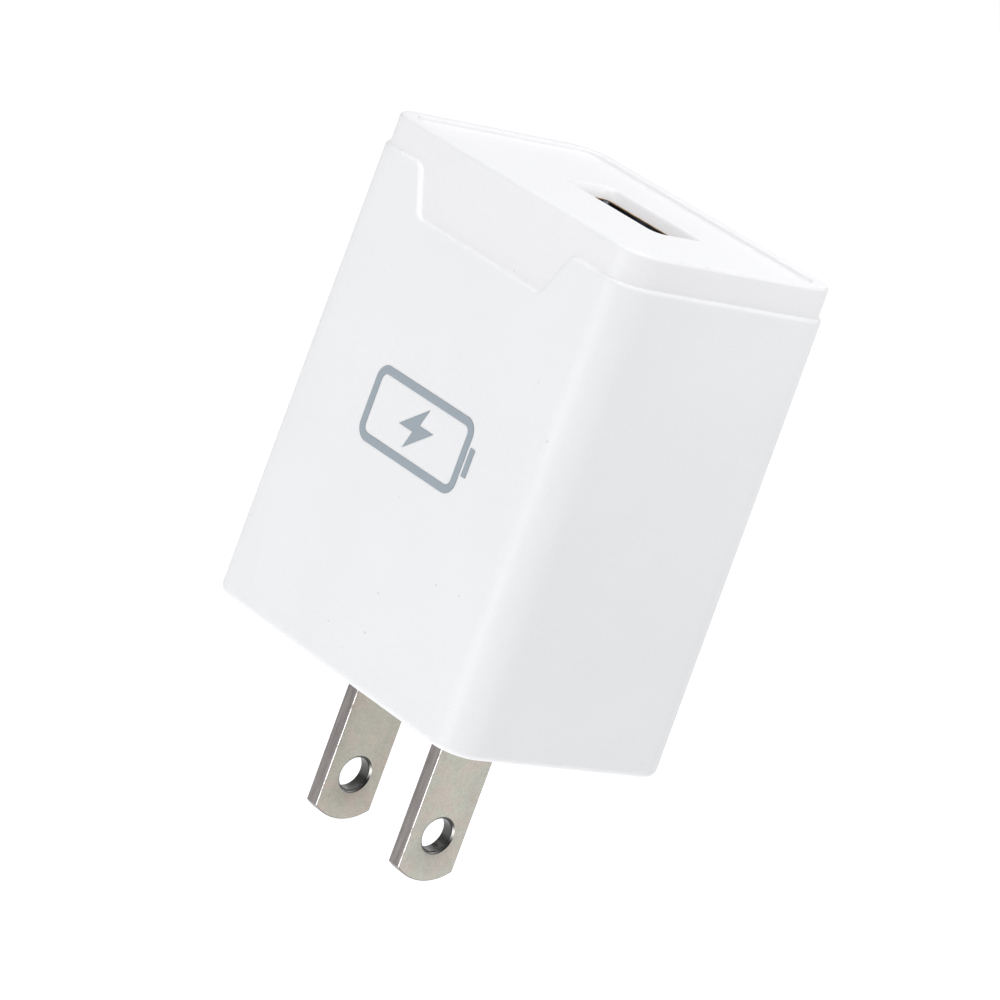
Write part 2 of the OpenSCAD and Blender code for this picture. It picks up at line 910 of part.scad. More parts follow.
module transformer_bobbin() {
    hole_w = core_leg + 2 * bobbin_slip;
    hole_d = core_t + 2 * bobbin_slip;
    color(black_resin)
        at_core()
            difference() {
                union() {
                    cube([hole_w + 2 * bobbin_wall, hole_d + 2 * bobbin_wall, 2 * bobbin_half_l],
                         center = true);
                    for (s = [-1, 1]) {
                        translate([0, 0, s * (bobbin_half_l - flange_t / 2)])
                            cube([flange_wide, flange_deep, flange_t], center = true);
                        translate([-flange_wide / 2, pin_rail_y - core_y,
                                   s * (pin_rail_out + bobbin_half_l - pin_rail_in) / 2
                                   - (pin_rail_out - bobbin_half_l + pin_rail_in) / 2])
                            cube([flange_wide, pin_rail_h, pin_rail_out - bobbin_half_l + pin_rail_in]);
                    }
                }
                cube([hole_w, hole_d, 3 * bobbin_half_l], center = true);
                for (x = pin_x, s = [-1, 1])
                    translate([x, board_y - stand_off - core_y, s * pin_z])
                        rotate([90, 0, 0])
                            cylinder(h = 2 * pin_root, r = lead_r, center = true);
            }
}

module transformer_pins() {
    color(tin)
        at_core()
            for (x = pin_x, s = [-1, 1])
                translate([x, lead_end_y - core_y, s * pin_z])
                    rotate([90, 0, 0])
                        cylinder(h = lead_end_y - board_y + stand_off + pin_root, r = lead_r);
}

module coil_ring(outer_w, outer_d, inner_w, inner_d, h, r_out, r_in) {
    translate([0, 0, -h / 2])
        linear_extrude(h)
            difference() {
                rounded_rect(outer_w, outer_d, r_out);
                rounded_rect(inner_w, inner_d, r_in);
            }
}

module transformer_winding() {
    tube_w = core_leg + 2 * (bobbin_slip + bobbin_wall);
    tube_d = core_t + 2 * (bobbin_slip + bobbin_wall);
    color(copper)
        at_core()
            coil_ring(winding_wide - 2 * tape_t, winding_deep - 2 * tape_t,
                      tube_w + 2 * slip, tube_d + 2 * slip,
                      2 * (bobbin_half_l - flange_t - slip), winding_r, slip);
}

module winding_tape() {
    color(tape_yellow)
        at_core()
            coil_ring(winding_wide, winding_deep, winding_wide - 2 * tape_t, winding_deep - 2 * tape_t,
                      2 * (bobbin_half_l - flange_t - 4 * slip), winding_r + tape_t, winding_r);
}

module core_tape() {
    tape_w = 3.2;
    color(tape_yellow)
        at_core()
            rotate([90, 0, 0])
                coil_ring(core_w + 2 * tape_t, core_l + 2 * tape_t, core_w + slip, core_l + slip,
                          tape_w, 2 * tape_t, slip / 2);
}

// ---- Leaded parts on the board's front ----

module capacitor(at, r, h) {
    crimp = 0.25;
    crimp_z = 1.4;
    vent_w = 0.2;
    vent_deep = 0.35;
    color(sleeve_dark)
        on_board(at)
            translate([0, 0, stand_off])
                difference() {
                    cylinder(h = h, r = r);
                    translate([0, 0, crimp_z])
                        rotate_extrude()
                            translate([r + crimp, 0])
                                circle(2 * crimp);
                    translate([0, 0, h])
                        for (a = [0, 60, 120])
                            rotate([0, 0, a])
                                cube([1.5 * r, vent_w, 2 * vent_deep], center = true);
                }
}

module input_capacitor_lower() {
    capacitor(input_low, can_r, can_h);
}

module input_capacitor_upper() {
    capacitor(input_high, can_r, can_h);
}

module output_capacitor_left() {
    capacitor(output_left, can_r, can_h);
}

module output_capacitor_right() {
    capacitor(output_right, output_right_r, output_right_h);
}

module capacitor_leads() {
    color(tin) {
        for (at = [input_low, input_high, output_left])
            on_board(at)
                lead_pair(capacitor_pitch, stand_off, lead_r);
        on_board(output_right)
            lead_pair(output_right_pitch, stand_off, lead_r);
    }
}

module filter_choke() {
    color(ferrite)
        on_board(choke_at)
            translate([0, 0, stand_off]) {
                cylinder(h = choke_flange, r = choke_r);
                cylinder(h = choke_h, r = choke_r / 2);
                translate([0, 0, choke_h - choke_flange])
                    cylinder(h = choke_flange, r = choke_r);
            }
}

module choke_winding() {
    turn_room = choke_h - 2 * choke_flange - 2 * slip;
    flange_reach = 0.4;
    color(copper)
        on_board(choke_at) {
            translate([0, 0, stand_off + choke_flange + slip])
                difference() {
                    cylinder(h = turn_room, r = choke_r - flange_reach);
                    translate([0, 0, -overcut])
                        cylinder(h = turn_room + 2 * overcut, r = (choke_r + slip) / 2);
                }
            lead_pair(choke_pitch, stand_off, lead_r);
        }
}

module fusible_resistor() {
    cap_h = 1.6;
    waist = 0.2;
    color(resistor_green)
        on_board(resistor_at)
            translate([0, -resistor_pitch / 2, resistor_lift]) {
                cylinder(h = resistor_h, r = resistor_r - waist);
                for (z = [0, resistor_h - cap_h])
                    translate([0, 0, z])
                        cylinder(h = cap_h, r = resistor_r);
            }
}

// One lead goes straight down; the other loops over the top and comes back
module resistor_leads() {
    bend_r = resistor_pitch / 2;
    stub = 0.4;
    top = resistor_lift + resistor_h + stub;
    color(tin)
        on_board(resistor_at) {
            translate([0, -bend_r, board_y - lead_end_y])
                cylinder(h = lead_end_y - board_y + resistor_lift, r = lead_r);
            translate([0, -bend_r, resistor_lift + resistor_h])
                cylinder(h = stub, r = lead_r);
            translate([0, 0, top])
                rotate([0, 90, 0])
                    rotate([0, 0, 90])
                        rotate_extrude(angle = 180)
                            translate([bend_r, 0])
                                circle(lead_r);
            translate([0, bend_r, board_y - lead_end_y])
                cylinder(h = lead_end_y - board_y + top, r = lead_r);
        }
}

module safety_capacitor() {
    edge = disc_t / 2;
    color(disc_blue)
        on_board(disc_at)
            translate([-disc_t / 2, 0, disc_r + disc_lift])
                rotate([0, 90, 0])
                    rotate_extrude() {
                        square([disc_r - edge, disc_t]);
                        intersection() {
                            translate([disc_r - edge, edge])
                                circle(edge);
                            square([disc_r, disc_t]);
                        }
                    }
}

module safety_capacitor_leads() {
    rise = disc_lift + disc_r - sqrt(pow(disc_r, 2) - pow(disc_pitch / 2 - lead_r, 2));
    color(tin)
        on_board(disc_at)
            for (s = [-1, 1])
                translate([0, s * disc_pitch / 2, board_y - lead_end_y])
                    cylinder(h = lead_end_y - board_y + rise, r = lead_r);
}

// ---- Parts soldered flat on the board's back ----

module chip_body(at, size) {
    color(black_resin)
        on_back(at)
            translate([0, chip_lift, 0])
                block(size);
}

module bridge_rectifier() {
    chip_body(bridge_at, bridge_size);
}

module control_chip() {
    chip_body(control_at, control_size);
}

module output_diode() {
    chip_body(diode_at, diode_size);
}

module port_chip() {
    chip_body(port_chip_at, port_chip_size);
}

// One bent leg: a foot on the board and a riser up the chip's side
module chip_leg(side, z_half) {
    translate([-leg_w / 2, 0, side > 0 ? z_half : -z_half - leg_foot])
        cube([leg_w, leg_t, leg_foot]);
    translate([-leg_w / 2, 0, side > 0 ? z_half : -z_half - leg_t])
        cube([leg_w, leg_rise, leg_t]);
}

module leg_rows(at, size, offsets) {
    on_back(at)
        for (x = offsets, side = [-1, 1])
            translate([x, 0, 0])
                chip_leg(side, size[2] / 2);
}

module chip_legs() {
    color(tin) {
        leg_rows(bridge_at, bridge_size, bridge_legs);
        leg_rows(control_at, control_size, control_legs);
        leg_rows(diode_at, diode_size, diode_legs);
        leg_rows(port_chip_at, port_chip_size, port_chip_legs);
    }
}

module chip_middle(size) {
    translate([-size[0] / 2, 0, terminal_l - size[2] / 2])
        cube([size[0], size[1], size[2] - 2 * terminal_l]);
}

module chip_resistors() {
    color(black_resin)
        for (at = chip_resistor_at)
            on_back(at)
                chip_middle(resistor_chip);
}

module chip_capacitors() {
    color(chip_tan)
        for (at = chip_capacitor_at)
            on_back(at)
                chip_middle(capacitor_chip);
}

module terminal_pair(size) {
    for (z = [-size[2] / 2, size[2] / 2 - terminal_l])
        translate([-size[0] / 2, 0, z])
            cube([size[0], size[1], terminal_l]);
}

module chip_terminals() {
    color(tin) {
        for (at = chip_resistor_at)
            on_back(at)
                terminal_pair(resistor_chip);
        for (at = chip_capacitor_at)
            on_back(at)
                terminal_pair(capacitor_chip);
    }
}

main_housing();
usb_end_cap();
printed_icon();
blade_left();
blade_right();
blade_retainer();
blade_clip_left();
blade_clip_right();
main_board();
board_insulator();
usb_shield();
usb_tongue();
usb_contact_tails();
contact_power();
contact_data_minus();
contact_data_plus();
contact_ground();
core_half_lower();
core_half_upper();
transformer_bobbin();
transformer_winding();
winding_tape();
core_tape();
transformer_pins();
fusible_resistor();
resistor_leads();
filter_choke();
choke_winding();
input_capacitor_lower();
input_capacitor_upper();
output_capacitor_left();
output_capacitor_right();
capacitor_leads();
safety_capacitor();
safety_capacitor_leads();
bridge_rectifier();
control_chip();
output_diode();
port_chip();
chip_legs();
chip_resistors();
chip_capacitors();
chip_terminals();
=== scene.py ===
import json
import math

import bmesh
import bpy
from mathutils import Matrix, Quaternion, Vector


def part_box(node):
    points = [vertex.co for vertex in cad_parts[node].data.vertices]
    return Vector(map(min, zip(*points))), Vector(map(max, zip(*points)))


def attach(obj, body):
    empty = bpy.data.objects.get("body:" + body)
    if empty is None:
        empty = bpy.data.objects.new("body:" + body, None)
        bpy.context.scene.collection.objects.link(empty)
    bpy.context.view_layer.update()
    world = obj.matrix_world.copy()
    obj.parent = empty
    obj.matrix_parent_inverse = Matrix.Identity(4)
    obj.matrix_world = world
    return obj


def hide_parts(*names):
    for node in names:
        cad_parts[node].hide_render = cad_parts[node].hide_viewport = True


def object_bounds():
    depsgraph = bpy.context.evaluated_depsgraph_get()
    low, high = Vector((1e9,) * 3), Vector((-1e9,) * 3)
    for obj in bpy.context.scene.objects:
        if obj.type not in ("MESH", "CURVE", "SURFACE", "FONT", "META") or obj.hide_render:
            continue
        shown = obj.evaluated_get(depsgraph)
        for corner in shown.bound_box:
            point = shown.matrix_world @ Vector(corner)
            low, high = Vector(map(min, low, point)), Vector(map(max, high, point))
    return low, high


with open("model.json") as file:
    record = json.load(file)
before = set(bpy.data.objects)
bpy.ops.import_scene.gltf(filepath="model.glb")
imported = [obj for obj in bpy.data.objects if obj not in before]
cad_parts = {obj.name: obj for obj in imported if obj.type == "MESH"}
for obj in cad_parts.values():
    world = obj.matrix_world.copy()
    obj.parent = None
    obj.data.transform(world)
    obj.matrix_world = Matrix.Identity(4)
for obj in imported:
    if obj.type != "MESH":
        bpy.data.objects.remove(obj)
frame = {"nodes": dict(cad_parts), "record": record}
cad_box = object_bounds()

MM = 0.001
QUARTER = math.pi / 2

# ---- Sizes of the white plastic parts, in metres ----

CORNER_R = 3.4 * MM
CORNER_STEPS = 18
TAPER_X = 0.5 * MM
TAPER_Y = 0.2 * MM
FOOT_R = 0.75 * MM
LEDGE_IN = 0.28 * MM
LEDGE_DOWN = 0.4 * MM
BASE_T = 2.2 * MM
WALL = 1.8 * MM
CAVITY_R = 2.0 * MM
SLIP = 0.05 * MM

CAP_INSET = 0.33 * MM
CAP_GAP = 0.002 * MM
RIM_W = 1.5 * MM
RIM_R = 0.4 * MM
RIM_INNER_R = 0.2 * MM
PANEL_R = 0.25 * MM
COVE_IN = 0.05 * MM
COVE_UP = 0.16 * MM
PANEL_T = 1.7 * MM
SKIRT_T = 1.2 * MM
SKIRT_H = 3.6 * MM

TAB_LOW_HALF = 8.2 * MM
TAB_HIGH_HALF = 10.9 * MM
TAB_R = 1.0 * MM

THROAT_X = 6.25 * MM
THROAT_Y = 2.625 * MM
THROAT_R = 0.8 * MM
LIP_X = 0.5 * MM
LIP_Y = 0.4 * MM
LIP_DEEP = 1.0 * MM
PORT_LAND = 1.05 * MM
POCKET_X = 6.75 * MM
POCKET_Y = 3.06 * MM

# Painted light: emission that brightens the seam, thin edges and recess walls, and the name it has in the
# meshes
GLOW = "glow"
LEDGE_GLOW = 0.085
COVE_GLOW = 0.1
RIM_GLOW = 0.13
PORT_GLOW = 0.3
SIDE_SHARE = 0.3
NOTCH_LEAN = 1.1

# Spacing of the rows and points that the meshes are made of
SUPPORT = 0.04 * MM
ARC_STEPS = 6
NOTCH_STEPS = 10
FLAT_SPANS = 5
LEDGE_SPAN = 0.6 * MM
SIDE_ROWS = (12 * MM, 24 * MM)
UNDER_TAB = 1.2 * MM
ABOVE_SEAM = 0.6 * MM

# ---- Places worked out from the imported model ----


def mount_place(name):
    """Where the record puts one of the part's mounts."""
    mounts = frame["record"]["mounts"]
    return Vector(next(m["pos_m"] for m in mounts if m["name"] == name))


_, HOUSING_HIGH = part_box("main_housing")
CAP_LOW, CAP_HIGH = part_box("usb_end_cap")
BODY_TOP = CAP_HIGH.z
LEDGE_Z = HOUSING_HIGH.z
TAB_Z = CAP_LOW.z
SKIRT_Z = LEDGE_Z - SKIRT_H
PORT = mount_place("usb_port")
PANEL_Z = PORT.z


def half_x(z):
    """Half width of the drafted block at height z."""
    return HOUSING_HIGH.x - TAPER_X * (z - FOOT_R) / BODY_TOP


def half_y(z):
    """Half depth of the drafted block at height z."""
    return HOUSING_HIGH.y - TAPER_Y * (z - FOOT_R) / BODY_TOP


CAVITY_X = half_x(BODY_TOP) - WALL
CAVITY_Y = half_y(BODY_TOP) - WALL


# ---- Rows of points round the block ----


def arc_angles(steps):
    return [QUARTER * i / steps for i in range(steps + 1)]


def notch_half():
    """Right half of the housing's front upper edge: points and directions out of the housing, all (x, z).

    It runs from the middle of the notch, round its lower corner, up its steep side and on to the ledge."""
    low = Vector((TAB_LOW_HALF, TAB_Z + TAB_R))
    high = Vector((TAB_HIGH_HALF, LEDGE_Z))
    span = high - low
    steep = math.atan2(span.y, span.x) + math.asin(TAB_R / span.length)
    shoulder = Vector((high.x + TAB_R * math.tan(steep / 2), LEDGE_Z - TAB_R))
    up = Vector((0, 1))
    turns = [steep * i / NOTCH_STEPS for i in range(NOTCH_STEPS + 1)]
    edge = [(Vector((low.x * i / FLAT_SPANS, TAB_Z)), up) for i in range(FLAT_SPANS)]
    for a in turns:
        out = Vector((-math.sin(a), math.cos(a)))
        edge.append((low - out * TAB_R, out))
    for a in reversed(turns):
        out = Vector((-math.sin(a), math.cos(a)))
        edge.append((shoulder + out * TAB_R, out))
    start = edge[-1][0].x
    for i in (1, 2, 3):
        edge.append((Vector((start + i * LEDGE_SPAN, LEDGE_Z)), up))
    return edge


def mirrored(edge):
    return [(Vector((-p.x, p.y)), Vector((-n.x, n.y))) for p, n in reversed(edge)]


NOTCH_HALF = notch_half()
EDGE = mirrored(NOTCH_HALF[1:]) + NOTCH_HALF
FRONT_STATIONS = [p.x / (half_x(LEDGE_Z) - CORNER_R) for p, _ in EDGE]
SIDE_STATIONS = [i / FLAT_SPANS for i in range(1 - FLAT_SPANS, FLAT_SPANS)]
STATIONS = (FRONT_STATIONS, SIDE_STATIONS, SIDE_STATIONS, SIDE_STATIONS)
TURNS = ((1, 0), (0, 1), (-1, 0), (0, -1))


def ring(reach_x, reach_y, radius, z, centre=(0, 0), stations=STATIONS, steps=CORNER_STEPS):
    """Row of points round a rounded rectangle, anticlockwise from the left end of the front side."""
    row = []
    for side, (c, s) in enumerate(TURNS):
        along, across = (reach_x, reach_y) if side % 2 == 0 else (reach_y, reach_x)
        flat = along - radius
        local = [(flat * t, -across) for t in stations[side]]
        for a in arc_angles(steps):
            local.append((flat + radius * math.sin(a), radius - across - radius * math.cos(a)))
        row += [Vector((centre[0] + c * x - s * y, centre[1] + s * x + c * y, z)) for x, y in local]
    return row


def block_ring(z, inset):
    """Row round the block's drafted side, moved in by inset."""
    return ring(half_x(z) - inset, half_y(z) - inset, CORNER_R - inset, z)


def edge_ring(offset, inset):
    """Row that follows the housing's upper edge, and dips round the notch for the tab."""
    row = block_ring(LEDGE_Z + offset, inset)
    for i, (point, out) in enumerate(EDGE):
        x, z = point + out * offset
        row[i] = Vector((x, inset - half_y(z), z))
    return row


def inner_edge_ring(reach_x, reach_y, radius, offset):
    """The same edge where it comes out on an inner wall."""
    row = ring(reach_x, reach_y, radius, LEDGE_Z + offset)
    for i, (point, out) in enumerate(EDGE):
        x, z = point + out * offset
        row[i] = Vector((x, -reach_y, z))
    return row


def seam_glow(strength):
    """Painted highlight along the seam, uneven by choice: it stays in place whatever the light or the view.

    On the front it is strongest on the notch's left wall and near zero on the right one. The other
    sides and the corners have SIDE_SHARE of it."""
    values = [strength * SIDE_SHARE] * len(block_ring(LEDGE_Z, 0))
    for i, (_, out) in enumerate(EDGE):
        values[i] = strength * max(0.0, 1 + NOTCH_LEAN * out.x)
    return values


def cavity_ring(z):
    return ring(CAVITY_X, CAVITY_Y, CAVITY_R, z)


def port_ring(z, grow):
    """Row round the socket's opening; grow is 1 at the outer edge of its lip and 0 in the throat."""
    radius = THROAT_R + grow * LIP_Y
    return ring(THROAT_X + grow * LIP_X, THROAT_Y + grow * LIP_Y, radius, z, centre=PORT)


# ---- Turning rows into closed meshes ----


def add_row(mesh, points):
    return [mesh.verts.new(p) for p in points]


def bridge(mesh, first, second):
    """Quads between two closed rows with as many points each."""
    for i in range(len(first)):
        j = (i + 1) % len(first)
        mesh.faces.new((first[i], first[j], second[j], second[i]))


def loft(mesh, rows, closed=False):
    """Joins closed rows one after another, and the last to the first if closed."""
    made = [add_row(mesh, row) for row in rows]
    for first, second in zip(made, made[1:]):
        bridge(mesh, first, second)
    if closed:
        bridge(mesh, made[-1], made[0])
    return made


def fill(mesh, loops):
    """Flat face inside the first loop, with the other loops as its holes."""
    edges = []
    for loop in loops:
        for i, corner in enumerate(loop):
            pair = (corner, loop[(i + 1) % len(loop)])
            edges.append(mesh.edges.get(pair) or mesh.edges.new(pair))
    bmesh.ops.triangle_fill(mesh, use_beauty=True, use_dissolve=False, edges=edges)


def lit_loft(mesh, lit_rows, closed=False):
    """Lofts rows that come with the glow of their points: one value, or one for each point."""
    layer = mesh.verts.layers.float.new(GLOW)
    made = loft(mesh, [row for _, row in lit_rows], closed)
    for (glow, _), row in zip(lit_rows, made):
        values = glow if isinstance(glow, list) else [glow] * len(row)
        for point, value in zip(row, values):
            point[layer] = value
    return made


def as_piece(mesh, name, materials, sharp=35):
    """Turns a bmesh into an object, smooth apart from its sharp edges."""
    bmesh.ops.recalc_face_normals(mesh, faces=mesh.faces)
    data = bpy.data.meshes.new(name)
    mesh.to_mesh(data)
    mesh.free()
    data.shade_smooth()
    data.set_sharp_from_angle(angle=math.radians(sharp))
    for material in materials:
        data.materials.append(material)
    piece = bpy.data.objects.new(name, data)
    bpy.context.scene.collection.objects.link(piece)
    return piece


# ---- Material tools ----


class Surface:
    """A material under construction, with short calls that add nodes to it."""

    def __init__(self, name, roughness, metallic=0.0, **shader):
        self.material = bpy.data.materials.new(name)
        self.material.use_nodes = True
        self.tree = self.material.node_tree
        self.shader = self.tree.nodes["Principled BSDF"]
        self.shader.inputs["Roughness"].default_value = roughness
        self.shader.inputs["Metallic"].default_value = metallic
        for socket, value in shader.items():
            self.shader.inputs[socket.replace("_", " ")].default_value = value
        self.place = self.node("ShaderNodeTexCoord").outputs["Object"]
        self.height = None

    def node(self, kind, settings=(), **inputs):
        made = self.tree.nodes.new(kind)
        for name, value in dict(settings).items():
            setattr(made, name, value)
        for name, value in inputs.items():
            self.feed(made.inputs[name.replace("_", " ")], value)
        return made

    def feed(self, socket, value):
        if isinstance(value, bpy.types.NodeSocket):
            self.tree.links.new(value, socket)
        else:
            socket.default_value = value

    def noise(self, scale, detail=3.0, stretch=(1, 1, 1), roughness=0.55):
        """Noise with features about 1 / scale metres wide, drawn out along an axis by stretch below 1."""
        place = self.node("ShaderNodeMapping", Vector=self.place, Scale=stretch)
        made = self.node("ShaderNodeTexNoise", Vector=place.outputs[0], Scale=scale, Detail=detail,
                         Roughness=roughness)
        return made.outputs[0]

    def spread(self, value, low, high, out_low=0.0, out_high=1.0):
        """Remaps value from low..high to out_low..out_high, and stops at the ends."""
        made = self.node("ShaderNodeMapRange", Value=value, From_Min=low, From_Max=high,
                         To_Min=out_low, To_Max=out_high)
        return made.outputs[0]

    def maths(self, operation, first, second):
        made = self.node("ShaderNodeMath", {"operation": operation})
        self.feed(made.inputs[0], first)
        self.feed(made.inputs[1], second)
        return made.outputs[0]

    def blend(self, amount, first, second, mode="MIX"):
        """Colour between first and second, or their product if mode is MULTIPLY and amount is 1."""
        made = self.node("ShaderNodeMix", {"data_type": "RGBA", "blend_type": mode})
        self.feed(made.inputs["Factor"], amount)
        sockets = [s for s in made.inputs if s.type == "RGBA"]
        self.feed(sockets[0], colour4(first))
        self.feed(sockets[1], colour4(second))
        return next(s for s in made.outputs if s.type == "RGBA")

    def colour(self, value):
        self.feed(self.shader.inputs["Base Color"], colour4(value))

    def roughness(self, value):
        self.feed(self.shader.inputs["Roughness"], value)

    def raise_by(self, height, depth, strength=1.0):
        """Adds a layer of bump, depth metres high."""
        bump = self.node("ShaderNodeBump", Height=height, Distance=depth, Strength=strength)
        if self.height is not None:
            self.tree.links.new(self.height, bump.inputs["Normal"])
        self.height = bump.outputs[0]
        self.feed(self.shader.inputs["Normal"], self.height)


def colour4(value):
    return value if isinstance(value, bpy.types.NodeSocket) else (*value, 1.0)


def shade(colour, factor):
    return tuple(min(1.0, c * factor) for c in colour)


def mottled(name, colour, roughness, scale=900, contrast=0.12, depth=0.004 * MM, metallic=0.0, **shader):
    """Plain stock with a slightly uneven colour, gloss and surface."""
    made = Surface(name, roughness, metallic, **shader)
    cloud = made.noise(scale, 4)
    dark, light = shade(colour, 1 - contrast), shade(colour, 1 + contrast)
    made.colour(made.blend(made.spread(cloud, 0.3, 0.7), dark, light))
    made.roughness(made.spread(cloud, 0.3, 0.7, roughness * 0.85, roughness * 1.15))
    made.raise_by(made.noise(scale * 4, 3), depth)
    return made


# ---- Materials ----


def white_plastic(name, colour):
    """Moulded white plastic: a fine spark-eroded grain, a few hairlines and specks of dust.

    It emits as much as the mesh's glow says. That is painted light: brightness added in place of the light
    that thin edges and the walls of a recess would scatter."""
    made = Surface(name, 0.3, Emission_Color=(1.0, 0.965, 0.95, 1.0))
    glow = made.node("ShaderNodeAttribute", {"attribute_name": GLOW})
    made.feed(made.shader.inputs["Emission Strength"], glow.outputs["Fac"])
    cloud = made.noise(70, 2)
    grain = made.noise(9500, 2)
    tone = made.maths("ADD", made.maths("MULTIPLY", cloud, 0.3), made.maths("MULTIPLY", grain, 0.7))
    body = made.blend(made.spread(tone, 0.3, 0.7), shade(colour, 0.957), shade(colour, 1.028))
    speck = made.node("ShaderNodeTexVoronoi", Vector=made.place, Scale=620, Randomness=1.0)
    rare = made.node("ShaderNodeSeparateColor", Color=speck.outputs["Color"])
    size = made.spread(rare.outputs[0], 0.45, 1.0, 0.0, 0.085)
    dust = made.spread(made.maths("SUBTRACT", size, speck.outputs["Distance"]), 0.0, 0.02)
    made.colour(made.blend(dust, body, shade(colour, 0.78)))
    hairline = made.spread(made.noise(900, 1, stretch=(1.0, 1.0, 0.045)), 0.735, 0.76)
    patch = made.spread(made.noise(120, 1), 0.58, 0.62)
    scratch = made.maths("MULTIPLY", hairline, patch)
    polish = made.spread(grain, 0.3, 0.7, 0.35, 0.4)
    made.roughness(made.maths("ADD", polish, made.maths("MULTIPLY", scratch, 0.2)))
    made.raise_by(grain, 0.003 * MM, 0.15)
    made.raise_by(made.noise(260, 2), 0.02 * MM, 0.08)
    made.raise_by(scratch, -0.01 * MM, 0.5)
    return made.material


def blade_face(name, colour):
    """Nickel plate over stamped brass, with cloudy handling marks, tinted patches and a fine grain."""
    made = Surface(name, 0.3, metallic=1.0)
    cloud = made.noise(700, 5, roughness=0.7)
    grain = made.noise(6000, 3)
    tone = made.maths("ADD", made.maths("MULTIPLY", cloud, 0.5), made.maths("MULTIPLY", grain, 0.5))
    plate = made.blend(made.spread(tone, 0.36, 0.64), shade(colour, 0.86), shade(colour, 1.13))
    warm = made.blend(made.spread(made.noise(420, 3), 0.42, 0.62), (0.93, 0.96, 0.94), (1.0, 0.93, 0.93))
    made.colour(made.blend(1.0, plate, warm, "MULTIPLY"))
    made.roughness(made.spread(cloud, 0.3, 0.7, 0.26, 0.42))
    made.raise_by(grain, 0.004 * MM, 0.5)
    made.raise_by(made.noise(1500, 3), 0.006 * MM, 0.4)
    return made.material


def blade_edge():
    """The blade's sheared narrow faces: duller, with long streaks, and darker as painted shade."""
    colour = (0.272, 0.247, 0.243)
    made = Surface("nickel_sheared_and_shade", 0.42, metallic=1.0)
    streak = made.noise(2600, 3, stretch=(1, 1, 0.12))
    made.colour(made.blend(made.spread(streak, 0.32, 0.68), shade(colour, 0.75), shade(colour, 1.2)))
    made.roughness(made.spread(streak, 0.3, 0.7, 0.36, 0.5))
    made.raise_by(streak, 0.004 * MM, 0.6)
    return made.material


def blade_edge_highlight():
    """The blade's rounded long edges: a near-white painted highlight, with a few dull nicks."""
    made = Surface("nickel_edge_highlight", 0.2, metallic=1.0)
    nick = made.noise(1500, 3)
    made.colour(made.blend(made.spread(nick, 0.58, 0.7), (1.0, 0.99, 0.97), (0.45, 0.42, 0.38)))
    made.roughness(made.spread(nick, 0.3, 0.7, 0.16, 0.28))
    made.raise_by(made.noise(4000, 2), 0.002 * MM, 0.4)
    return made.material


def blade_bore():
    """The hole's punched wall and countersink: painted shade, near black, with highlights painted into its
    colour.

    The mesh's glint says where the highlight is, so it doesn't move with the light or the view."""
    made = Surface("nickel_bore", 0.3, metallic=1.0)
    glint = made.node("ShaderNodeAttribute", {"attribute_name": GLINT}).outputs["Fac"]
    smear = made.noise(900, 3, stretch=(0.4, 1, 1))
    tone = made.maths("MULTIPLY", glint, made.spread(smear, 0.35, 0.65, 0.75, 1.1))
    made.colour(made.blend(made.spread(tone, 0.0, 1.0), (0.02, 0.02, 0.02), (1.0, 0.99, 0.95)))
    made.roughness(made.spread(smear, 0.3, 0.7, 0.22, 0.36))
    made.raise_by(smear, 0.005 * MM, 0.3)
    return made.material


def printed_ink():
    """Flat grey pad-printed ink, thin enough for the plastic's grain to show through."""
    colour = (0.30, 0.345, 0.385)
    made = Surface("printed_ink", 0.5)
    grain = made.noise(4200, 3)
    made.colour(made.blend(made.spread(grain, 0.3, 0.7), shade(colour, 0.95), shade(colour, 1.05)))
    made.roughness(made.spread(grain, 0.3, 0.7, 0.46, 0.58))
    made.raise_by(grain, 0.004 * MM, 0.3)
    return made.material


def laminate():
    """Green solder mask over glass cloth, whose weave shows faintly."""
    colour = (0.02, 0.13, 0.055)
    made = Surface("board_laminate", 0.32, Coat_Weight=0.3)
    axes = made.node("ShaderNodeSeparateXYZ", Vector=made.place)
    pitch = 2 * math.pi / (0.5 * MM)
    warp = made.maths("SINE", made.maths("MULTIPLY", axes.outputs[0], pitch), 0.0)
    weft = made.maths("SINE", made.maths("MULTIPLY", axes.outputs[2], pitch), 0.0)
    weave = made.spread(made.maths("MULTIPLY", warp, weft), -1.0, 1.0)
    cloud = made.noise(500, 3)
    tone = made.maths("MULTIPLY", weave, cloud)
    made.colour(made.blend(tone, shade(colour, 0.8), shade(colour, 1.5)))
    made.raise_by(weave, 0.01 * MM, 0.4)
    return made.material


def wound_wire(name, colour, pitch, axis):
    """Enamelled wire laid turn by turn along an axis, one turn every pitch metres."""
    made = Surface(name, 0.28, metallic=1.0, Coat_Weight=0.6)
    axes = made.node("ShaderNodeSeparateXYZ", Vector=made.place)
    wobble = made.maths("MULTIPLY", made.noise(400, 2), 1.5)
    phase = made.maths("ADD", made.maths("MULTIPLY", axes.outputs[axis], 2 * math.pi / pitch), wobble)
    turn = made.spread(made.maths("SINE", phase, 0.0), -1.0, 1.0)
    # Dark bands between the turns: painted shade in the grooves.
    made.colour(made.blend(turn, shade(colour, 0.35), colour))
    made.raise_by(turn, pitch / 3)
    return made.material


def sleeve():
    """Shrunk plastic sleeve of an electrolytic capacitor, with a faint ripple in its colour and gloss."""
    colour = (0.012, 0.018, 0.05)
    made = Surface("capacitor_sleeve", 0.25, Coat_Weight=0.4)
    ripple = made.noise(700, 2, stretch=(1, 0.3, 1))
    made.colour(made.blend(made.spread(ripple, 0.3, 0.7), shade(colour, 0.8), shade(colour, 1.6)))
    made.roughness(made.spread(ripple, 0.3, 0.7, 0.2, 0.34))
    made.raise_by(ripple, 0.02 * MM, 0.5)
    return made.material


